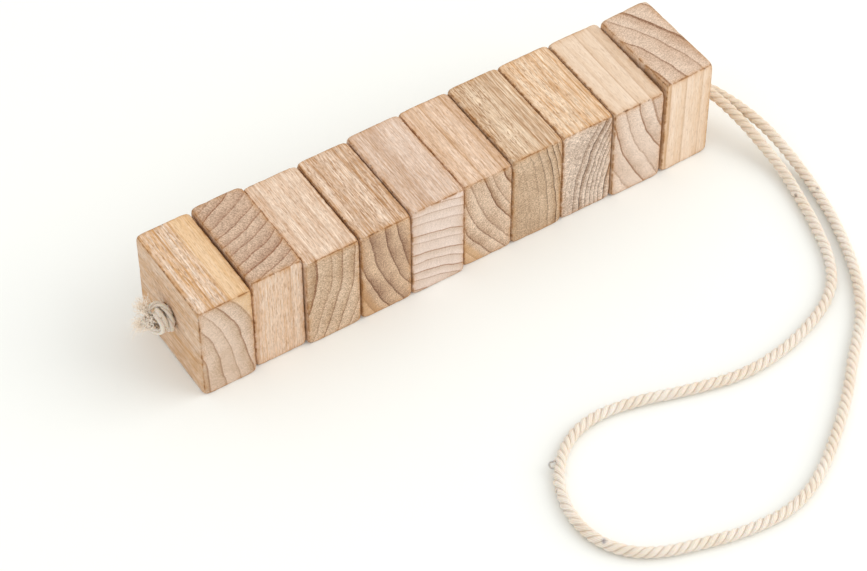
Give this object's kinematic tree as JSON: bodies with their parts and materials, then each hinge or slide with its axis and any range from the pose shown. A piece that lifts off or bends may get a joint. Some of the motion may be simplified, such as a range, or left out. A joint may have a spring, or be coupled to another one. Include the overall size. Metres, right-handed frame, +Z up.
{
  "type": "string of wooden blocks",
  "caption": "Row of bare hardwood blocks threaded side by side on a doubled twisted cotton cord, knotted and frayed at one end, with a long free loop at the other.",
  "frame": {"origin": "under the middle of the row of blocks, on the surface they stand on", "axes": "+Z up, +X along the row and the bores from the knot to the free loop, +Y to the side away from the loop"},
  "size_m": [0.2387, 0.1861, 0.0418],
  "materials": {
    "wood_pale": "bare, sanded",
    "wood_tan": "bare, sanded",
    "wood_brown": "bare, sanded",
    "cord": "twisted cotton, matt"
  },
  "bodies": {
    "cord": {"cord_loop": "cord", "strand_front": "cord", "strand_back": "cord", "end_knot": "cord", "frayed_end_upper": "cord", "frayed_end_lower": "cord"},
    "block_01": {"block_01": "wood_tan"},
    "block_02": {"block_02": "wood_brown"},
    "block_03": {"block_03": "wood_brown"},
    "block_04": {"block_04": "wood_brown"},
    "block_05": {"block_05": "wood_pale"},
    "block_06": {"block_06": "wood_tan"},
    "block_07": {"block_07": "wood_tan"},
    "block_08": {"block_08": "wood_tan"},
    "block_09": {"block_09": "wood_pale"},
    "block_10": {"block_10": "wood_tan"}
  },
  "joints": [
    {"name": "block_01_turn", "type": "hinge", "parent": "cord", "child": "block_01", "pos_m": [0, 0, 0.02], "axis": [1, 0, 0], "continuous": true},
    {"name": "block_02_turn", "type": "hinge", "parent": "cord", "child": "block_02", "pos_m": [0, 0, 0.02], "axis": [1, 0, 0], "continuous": true},
    {"name": "block_03_turn", "type": "hinge", "parent": "cord", "child": "block_03", "pos_m": [0, 0, 0.02], "axis": [1, 0, 0], "continuous": true},
    {"name": "block_04_turn", "type": "hinge", "parent": "cord", "child": "block_04", "pos_m": [0, 0, 0.02], "axis": [1, 0, 0], "continuous": true},
    {"name": "block_05_turn", "type": "hinge", "parent": "cord", "child": "block_05", "pos_m": [0, 0, 0.02], "axis": [1, 0, 0], "continuous": true},
    {"name": "block_06_turn", "type": "hinge", "parent": "cord", "child": "block_06", "pos_m": [0, 0, 0.02], "axis": [1, 0, 0], "continuous": true},
    {"name": "block_07_turn", "type": "hinge", "parent": "cord", "child": "block_07", "pos_m": [0, 0, 0.02], "axis": [1, 0, 0], "continuous": true},
    {"name": "block_08_turn", "type": "hinge", "parent": "cord", "child": "block_08", "pos_m": [0, 0, 0.02], "axis": [1, 0, 0], "continuous": true},
    {"name": "block_09_turn", "type": "hinge", "parent": "cord", "child": "block_09", "pos_m": [0, 0, 0.02], "axis": [1, 0, 0], "continuous": true},
    {"name": "block_10_turn", "type": "hinge", "parent": "cord", "child": "block_10", "pos_m": [0, 0, 0.02], "axis": [1, 0, 0], "continuous": true}
  ]
}
